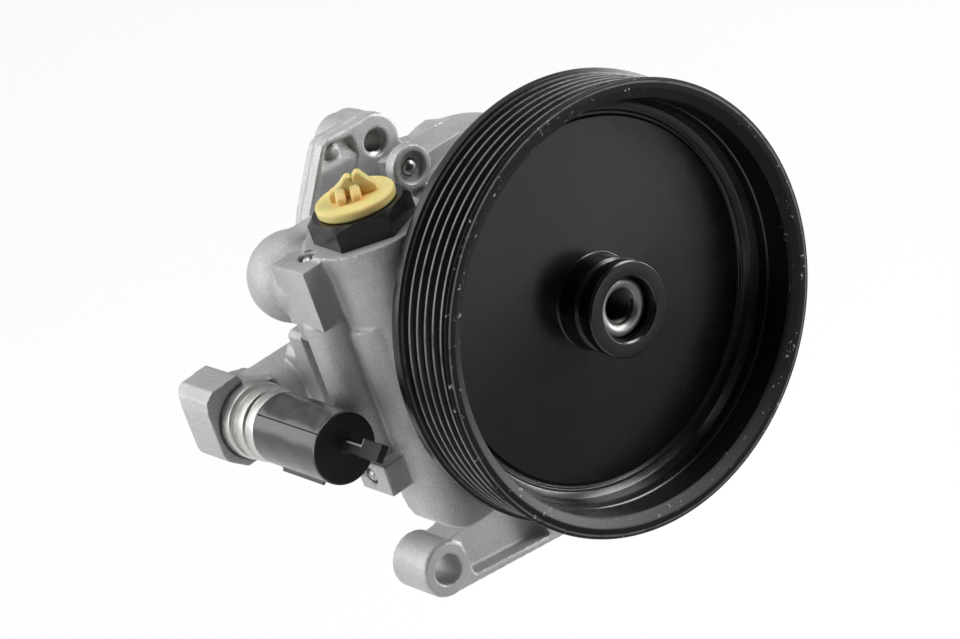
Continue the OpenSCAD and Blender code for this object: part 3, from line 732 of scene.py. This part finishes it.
def union_outline():
    """Half section as (radius, y, corner radius): tail in the block, rings, nose in the cap."""
    u = UNION_R
    t = UNION_TAIL_R
    seal_floor = t - 1.45
    tail = [(UNION_BORE, BLOCK + 9, 0), (t, BLOCK + 9, 0.4), (t, BLOCK + 4.4, 0),
            (seal_floor, BLOCK + 4.4, 0), (seal_floor, BLOCK + 2.6, 0), (t, BLOCK + 2.6, 0),
            (t, BLOCK + 0.98, 0)]
    rings = [(u, BLOCK + 0.98, 0.3), (u, BLOCK - 3.6, 0.6), (u - 0.6, BLOCK - 4.2, 0.4),
             (u - 1.5, BLOCK - 4.4, 0.3), (u - 1.5, BLOCK - 6.4, 0.3), (u - 0.5, BLOCK - 6.8, 0.5),
             (u - 0.5, BLOCK - 10.0, 0.6), (u - 1.4, BLOCK - 10.4, 0.3), (u - 1.4, BLOCK - 11.4, 0.2),
             (u - 1.0, BLOCK - 11.7, 0.2), (u - 1.0, CAP_Y + 0.05, 0.4)]
    nose = [(UNION_NOSE_R, CAP_Y + 0.05, 0), (UNION_NOSE_R, CAP_F + 7.6, 0.4),
            (UNION_NOSE_R - 0.8, CAP_F + 6.8, 0.4), (UNION_BORE + 1.4, CAP_F + 6.8, 0.3),
            (UNION_BORE, CAP_F + 9, 0.3)]
    return rounded(tail + rings + nose)


def make_union():
    union = turned("union_turned", union_outline(), OUT_X, OUT_Z, 128)
    dress(union, by_slot["zinc_steel"], "pump", "zinc_steel", "outlet_union")


# Castings: the solids' skins with their edges softened, machined places cut again

def mould_line(p, n):
    """How far the mould's thin line stands out round the edge of the mounting plate."""
    on_edge = (np.abs(n[:, 1]) < 0.3) & (p[:, 0] < -8) & (p[:, 2] > 16)
    return 0.34 * on_edge * np.exp(-((p[:, 1] - COVER - 3.8) / 0.45) ** 2)


def ear_ring(p, n):
    """How far the flat ring round the ear's hole stands forward."""
    on_face = (n[:, 1] < -0.7) & (p[:, 1] < COVER + 0.6)
    from_hole = np.hypot(p[:, 0] - EAR[0], p[:, 2] - EAR[1])
    return EAR_RING_H * on_face * smooth_step(from_hole, EAR_RING_R + 0.4, EAR_RING_R - 0.3)


def pocket_fill(p):
    """How far the floor of the plate's pocket rises towards its lower end."""
    x = p[:, 0]
    z = p[:, 2]
    deep = p[:, 1] - COVER
    margin = 0.7
    inside = (x > np.interp(z, *POCKET_LEFT) - margin) & (x < np.interp(z, *POCKET_RIGHT) + margin)
    inside &= (z > POCKET_LOW - margin) & (deep > 0.1) & (deep < 2)
    return 0.75 * deep * inside * smooth_step(z, 57, 52.5)


def cover_marks(p, n):
    new = p + n * mould_line(p, n)[:, None]
    new[:, 1] -= ear_ring(p, n) + pocket_fill(p)
    return new


def inside_cad_box(p, n):
    low, high = np.array(cad_box) / MM
    return np.clip(p, low, high)


def housing_tools(bm):
    """The seats of the steel balls; the one in the front boss lies in a wide cup."""
    seat = [(-3.6, BALL_BORE), (-0.5, BALL_BORE), (0.7, BALL_BORE + 1.2)]
    cup = [(-3.6, BALL_BORE), (-1.7, BALL_BORE), (-1.6, 4.4), (-0.3, 4.6), (0.7, 5.6)]
    drill(bm, COLUMN, (0, 0, 1), seat)
    drill(bm, LUG, (-1, 0, 0), seat)
    drill(bm, BOSS, (0, -1, 0), cup)


def cover_tools(bm):
    """The tapped hole in the plate and the plain hole in the ear, both with a chamfer."""
    mount = [(-13.8, MOUNT_BORE), (-0.3, MOUNT_BORE), (0.6, MOUNT_BORE + 0.45)]
    ear = [(-18.6, EAR_BORE), (-0.5, EAR_BORE), (0.7, EAR_BORE + 1.2)]
    drill(bm, (MOUNT[0], COVER, MOUNT[1]), (0, -1, 0), mount)
    drill(bm, (EAR[0], COVER - EAR_RING_H, EAR[1]), (0, -1, 0), ear)


def softened(name, node, size, tools, marks=None):
    ob = remeshed(copied(name, node), size)
    relaxed(ob, 6)
    if marks:
        moved(ob, marks)
    thinned(ob, CASTING_TRIS)
    moved(ob, inside_cad_box)
    cut(ob, tools)
    smooth_by_angle(ob, 38)
    return ob


def make_castings():
    housing = softened("housing_casting", "pump_housing", 0.5, housing_tools)
    dress(housing, by_slot["cast_housing"], "pump", "cast_housing", "pump_housing")
    cover = softened("cover_casting", "rear_cover", 0.45, cover_tools, cover_marks)
    dress(cover, by_slot["cast_cover"], "pump", "cast_cover", "rear_cover")
    ridge = thread("mount_thread", *MOUNT, COVER + 0.2, COVER + 13.4, outer=4.05, inner=3.3, pitch=1.25)
    dress(ridge, tapped, "pump", "cast_cover")


# Shaft end with a cut thread

def shaft_tool(bm):
    opened = SHAFT_BORE - 0.14
    drill(bm, (0, SHAFT, 0), (0, 1, 0), [(1.2, opened), (20.0, opened)])


def make_shaft():
    shaft = welded(copied("shaft_turned", "drive_shaft"))
    cut(shaft, shaft_tool)
    smooth_by_angle(shaft, 30)
    dress(shaft, shaft_steel, "shaft", "steel", "drive_shaft")
    ridge = thread("shaft_thread_ridge", 0, 0, SHAFT + 0.8, SHAFT + 19.6, outer=5.02, inner=4.27, pitch=1.5)
    dress(ridge, shaft_steel, "shaft", "steel")


# Yellow plug, its moulded edges rounded and its finger grips fuller

def fuller_grips(p, n):
    return p + 0.42 * n * smooth_step(p[:, 2:], GRIP_FOOT, GRIP_FOOT + 0.8)


def make_plug():
    plug = remeshed(copied("plug_moulding", "suction_plug"), 0.26)
    moved(plug, fuller_grips)
    relaxed(plug, 14)
    smooth_by_angle(plug, 60)
    dress(plug, by_slot["yellow_plastic"], "plug", "yellow_plastic", "suction_plug")


# Soft cap: moulded edges, dents, the mould line along its side and the slot in its tongue

def cap_dents(p, n):
    """The long wavy dent on top of the cap, a shallow one beside it and a slight swell all round."""
    dx = p[:, 0] - OUT_X
    dz = p[:, 2] - OUT_Z
    t = p[:, 1] - CAP_F
    r = np.hypot(dx, dz)
    a = np.degrees(np.arctan2(dz, dx)) % 360
    on_side = (r > 9.7) & (r < 10.6) & (t > 0.6) & (t < CAP_LONG - 0.3)
    ends = smooth_step(t, 0.8, 5) * smooth_step(CAP_LONG - t, 0.4, 4)
    middle = 98 + 6 * np.sin(2 * math.pi * t / 19 + 0.6) + 2.5 * np.sin(2 * math.pi * t / 8.3)
    dent = 0.58 * np.exp(-((a - middle) / 14) ** 2) * ends
    dent += 0.10 * np.exp(-((a - 160) / 12) ** 2 - ((t - 22) / 4) ** 2)
    dent += 0.05 + 0.03 * np.sin(2 * math.pi * t / 13 + 4 * np.radians(a)) * ends
    scale = np.where(on_side, (r - dent) / np.maximum(r, 1e-6), 1.0)
    new = p.copy()
    new[:, 0] = OUT_X + dx * scale
    new[:, 2] = OUT_Z + dz * scale
    return new


def cap_block(bm, degrees, low, high):
    """Adds a block turned round the cap's axis; its corners are measured from the cap's end."""
    turn = Matrix.Rotation(math.radians(degrees), 4, "Y")
    place = Matrix.Translation(Vector((OUT_X, CAP_F, OUT_Z)) * MM) @ turn
    low = Vector(low) * MM
    high = Vector(high) * MM
    block = Matrix.Translation((low + high) / 2) @ Matrix.Diagonal((*(high - low), 1))
    bmesh.ops.create_cube(bm, size=1, matrix=place @ block)


def cap_tools(bm):
    """The slot in the tongue's neck and the fine mould line along the cap."""
    cap_block(bm, TONGUE_TURN, (-0.42, -7.2, 0.3), (0.42, -0.2, 3.0))
    cap_block(bm, -SEAM_AT, (SEAM_FLOOR, 0.7, -0.2), (SEAM_FLOOR + 1.25, CAP_LONG - 0.4, 0.2))


def make_cap():
    cap = remeshed(copied("cap_moulding", "outlet_cap"), 0.32)
    relaxed(cap, 5)
    moved(cap, cap_dents)
    cut(cap, cap_tools)
    smooth_by_angle(cap, 50)
    dress(cap, by_slot["black_plastic"], "cap", "black_plastic", "outlet_cap")
    cap.data.materials.append(cap_end_black)
    seam = math.radians(SEAM_AT)
    toward_seam = Vector((math.cos(seam), 0, math.sin(seam)))
    end = Vector((OUT_X, CAP_F, OUT_Z))
    for face in cap.data.polygons:
        out = face.center / MM - end
        at_floor = SEAM_FLOOR - 0.1 < out.dot(toward_seam) < SEAM_FLOOR + 0.36
        in_seam = at_floor and abs(out.cross(toward_seam).y) < 0.3
        face.material_index = int(out.y < 0.3 or in_seam)


# Return spring of the valve: a wound coil

def make_spring():
    corners = np.array([tuple(corner) for corner in nodes["spool_spring"].bound_box]) / MM
    low = corners.min(0)
    spring = coil("spring_coil", low, corners.max(0), SPRING_WIRE, SPRING_TURNS)
    dress(spring, by_slot["dark_steel"], "pump", "dark_steel", "spool_spring")
    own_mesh(spring)


# Small rounded edges on the pieces that keep their own mesh

def round_edges(name, width):
    mod = nodes[name].modifiers.new("edge", "BEVEL")
    mod.width = width * MM
    mod.segments = 3
    mod.limit_method = "ANGLE"
    mod.angle_limit = math.radians(24)
    mod.use_clamp_overlap = True


make_pulley()
make_union()
make_castings()
make_shaft()
make_plug()
make_cap()
make_spring()
round_edges("suction_fitting", 0.3)
round_edges("cover_bolts", 0.35)
round_edges("valve_plug", 0.35)


# Camera at the photo's viewpoint; places of the camera and the stage are in metres

EYE = (-0.485942, -0.744761, 0.412428)
EYE_RIGHT = Vector((0.73901, -0.60167, -0.30309))
EYE_UP = Vector((0.48582, 0.16425, 0.85849))
EYE_AHEAD = Vector((0.46674, 0.78168, -0.41369))


def place_camera():
    cam = bpy.data.cameras.new("camera")
    cam.lens = 131.25
    cam.sensor_width = 36.0
    cam.clip_start = 0.01
    eye = link("camera", cam)
    turn = Matrix((EYE_RIGHT, EYE_UP, -EYE_AHEAD)).transposed().to_4x4()
    eye.matrix_world = Matrix.Translation(EYE) @ turn
    scene.camera = eye


# Floor: white to the camera but for the shadow; painted shade makes it grey in front of the part; mirrored,
# it is pale behind the part and far in front

FLOOR_Z = -0.34
FLOOR_HALF = 6.0
WHITE_SHARE = 0.9
# Painted shade: the floor's grey in front of the part
FRONT_SHADE_GREY = 0.20
PALE_BACK = 0.85
FRONT_PATCH = 1.4


def floor_material():
    n = Nodes("floor")
    x, y = n.axes()[:2]
    behind = n.span(n.weighted(x, -0.64, y, 0.77), -0.22, 0.06)
    far_ahead = n.span(n.weighted(x, 0.513, y, -0.859), 0.72, 0.96)
    n.done(n.ramp(behind, (0.0, FRONT_SHADE_GREY), (1.0, PALE_BACK)), 0.9, None, 0.0, Specular_IOR_Level=0.0)
    path = n.add("ShaderNodeLightPath").outputs
    seen = n.math("MAXIMUM", path["Is Camera Ray"], path["Is Transmission Ray"])
    # Mirror images see the floor pale behind and far ahead, and painted shade near the front of the part
    mirrored = n.times(path["Is Glossy Ray"], n.weighted(behind, PALE_BACK, far_ahead, FRONT_PATCH))
    white = n.add("ShaderNodeEmission")
    white.inputs["Color"].default_value = (1, 1, 1, 1)
    both = n.add("ShaderNodeMixShader")
    n.wire(n.times(n.math("MAXIMUM", seen, mirrored), WHITE_SHARE), both.inputs["Fac"])
    n.wire(n.bsdf.outputs[0], both.inputs[1])
    n.wire(white.outputs[0], both.inputs[2])
    n.wire(both.outputs[0], n.tree.nodes["Material Output"].inputs["Surface"])
    return n.mat


def make_floor():
    mesh = bpy.data.meshes.new("floor")
    bm = bmesh.new()
    bmesh.ops.create_grid(bm, x_segments=1, y_segments=1, size=FLOOR_HALF)
    bm.to_mesh(mesh)
    bm.free()
    floor = link("floor", mesh)
    floor.location.z = FLOOR_Z
    floor.data.materials.append(floor_material())


# Sky: white to the camera, otherwise bright only behind on the left

SKY_TOWARD = Vector((-0.50, 0.70, 0.50)).normalized()
SKY_DARK = 0.015
SKY_BRIGHT = 0.6


def make_sky():
    world = bpy.data.worlds.new("studio")
    scene.world = world
    world.use_nodes = True
    tree = world.node_tree
    sky = tree.nodes["Background"]
    sky.inputs["Color"].default_value = (1, 1, 1, 1)
    way = tree.nodes.new("ShaderNodeTexCoord").outputs["Generated"]
    dot = tree.nodes.new("ShaderNodeVectorMath")
    dot.operation = "DOT_PRODUCT"
    tree.links.new(way, dot.inputs[0])
    dot.inputs[1].default_value = SKY_TOWARD
    fade = tree.nodes.new("ShaderNodeMapRange")
    fade.interpolation_type = "SMOOTHSTEP"
    fade.inputs["From Min"].default_value = 0.05
    fade.inputs["From Max"].default_value = 0.9
    fade.inputs["To Min"].default_value = SKY_DARK
    fade.inputs["To Max"].default_value = SKY_BRIGHT
    tree.links.new(dot.outputs["Value"], fade.inputs["Value"])
    path = tree.nodes.new("ShaderNodeLightPath")
    level = tree.nodes.new("ShaderNodeMix")
    sockets = {s.identifier: s for s in level.inputs}
    tree.links.new(path.outputs["Is Camera Ray"], sockets["Factor_Float"])
    tree.links.new(fade.outputs["Result"], sockets["A_Float"])
    sockets["B_Float"].default_value = 1.0
    strength = [o for o in level.outputs if o.identifier == "Result_Float"][0]
    tree.links.new(strength, sky.inputs["Strength"])


def softbox(name, place, target, width, height, power):
    lamp = bpy.data.lights.new(name, "AREA")
    lamp.shape = "RECTANGLE"
    lamp.size = width
    lamp.size_y = height
    lamp.energy = power
    box = link(name, lamp)
    box.location = place
    box.rotation_euler = (Vector(target) - Vector(place)).to_track_quat("-Z", "Y").to_euler()


place_camera()
make_floor()
make_sky()
softbox("back_box", (-0.90, 1.02, 0.72), (-0.04, 0.04, 0.0), 1.4, 1.1, 9)
softbox("left_box", (-1.42, 0.38, 0.42), (-0.03, 0.03, 0.0), 0.8, 0.9, 7)
softbox("top_box", (-0.20, 0.20, 1.45), (0.0, 0.03, 0.0), 1.0, 0.8, 7)
softbox("right_fill", (1.12, -0.52, 0.84), (-0.03, 0.03, 0.03), 0.7, 0.7, 20)
softbox("right_low", (1.28, -0.70, -0.06), (-0.03, 0.03, -0.05), 0.6, 0.4, 14)
